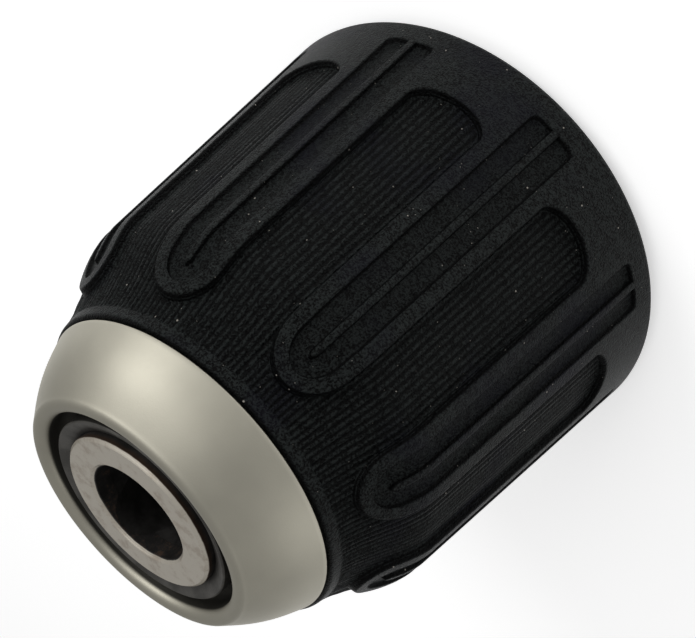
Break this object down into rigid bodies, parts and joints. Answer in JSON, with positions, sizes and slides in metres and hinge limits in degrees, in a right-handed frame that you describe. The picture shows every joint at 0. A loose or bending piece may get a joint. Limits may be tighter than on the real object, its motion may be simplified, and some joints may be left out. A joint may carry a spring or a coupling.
{
  "type": "keyless drill chuck",
  "caption": "Keyless drill chuck with inclined jaws, split nut, ball thrust bearing, ratchet lock, ribbed black grip sleeve and metal nose cap.",
  "frame": {"origin": "centre of the rear face, where the spindle enters", "axes": "+Z along the chuck's axis towards the nose; +Y towards the first jaw"},
  "size_m": [0.0462, 0.0462, 0.0484],
  "materials": {
    "body_steel": "blackened, with a ground tip",
    "jaw_steel": "hardened and oiled",
    "nut_steel": "turned",
    "race_steel": "hardened",
    "ball_steel": "polished",
    "cage_brass": "stamped",
    "spring_steel": "blued",
    "ring_steel": "dark grey oxide",
    "satin_nickel": "satin, bead blasted",
    "grip_plastic": "fine spark texture",
    "cover_plastic": "moulded"
  },
  "bodies": {
    "root": {"chuck_body": "body_steel", "thrust_washer": "race_steel", "ratchet_ring": "race_steel", "front_retaining_ring": "ring_steel", "rear_cover": "cover_plastic", "rear_circlip": "spring_steel"},
    "nut": {"nut_half_a": "nut_steel", "nut_half_b": "nut_steel", "nut_band": "nut_steel", "nut_washer": "race_steel", "lock_spring": "spring_steel"},
    "sleeve": {"grip_sleeve": "grip_plastic", "nose_cap": "satin_nickel", "drive_shell": "race_steel"},
    "pawl": {"lock_pawl": "nut_steel"},
    "bearing": {"bearing_balls": "ball_steel", "ball_cage": "cage_brass"},
    "first_jaw": {"jaw_1": "jaw_steel"},
    "second_jaw": {"jaw_2": "jaw_steel"},
    "third_jaw": {"jaw_3": "jaw_steel"}
  },
  "joints": [
    {"name": "nut_turn", "type": "hinge", "parent": "root", "child": "nut", "pos_m": [0, 0, 0.03], "axis": [0, 0, -1], "range_deg": [0, 3600]},
    {"name": "sleeve_lock", "type": "hinge", "parent": "nut", "child": "sleeve", "pos_m": [0, 0, 0.03], "axis": [0, 0, -1], "range_deg": [0, 20]},
    {"name": "pawl_drop", "type": "slide", "parent": "nut", "child": "pawl", "axis": [-1, 0, 0], "range_m": [0, 0.0005]},
    {"name": "cage_turn", "type": "hinge", "parent": "root", "child": "bearing", "pos_m": [0, 0, 0.0242], "axis": [0, 0, -1], "range_deg": [0, 1800]},
    {"name": "jaw_1_slide", "type": "slide", "parent": "root", "child": "first_jaw", "axis": [0, -0.2924, 0.9563], "range_m": [0, 0.0166]},
    {"name": "jaw_2_slide", "type": "slide", "parent": "root", "child": "second_jaw", "axis": [0.2532, 0.1462, 0.9563], "range_m": [0, 0.0166]},
    {"name": "jaw_3_slide", "type": "slide", "parent": "root", "child": "third_jaw", "axis": [-0.2532, 0.1462, 0.9563], "range_m": [0, 0.0166]}
  ],
  "couplings": [
    {"joint": "pawl_drop", "follows": "sleeve_lock", "m_per_rad": 0.0014324},
    {"joint": "cage_turn", "follows": "nut_turn", "ratio": 0.5},
    {"joint": "jaw_1_slide", "follows": "nut_turn", "m_per_rad": 0.0002642},
    {"joint": "jaw_2_slide", "follows": "nut_turn", "m_per_rad": 0.0002642},
    {"joint": "jaw_3_slide", "follows": "nut_turn", "m_per_rad": 0.0002642}
  ]
}
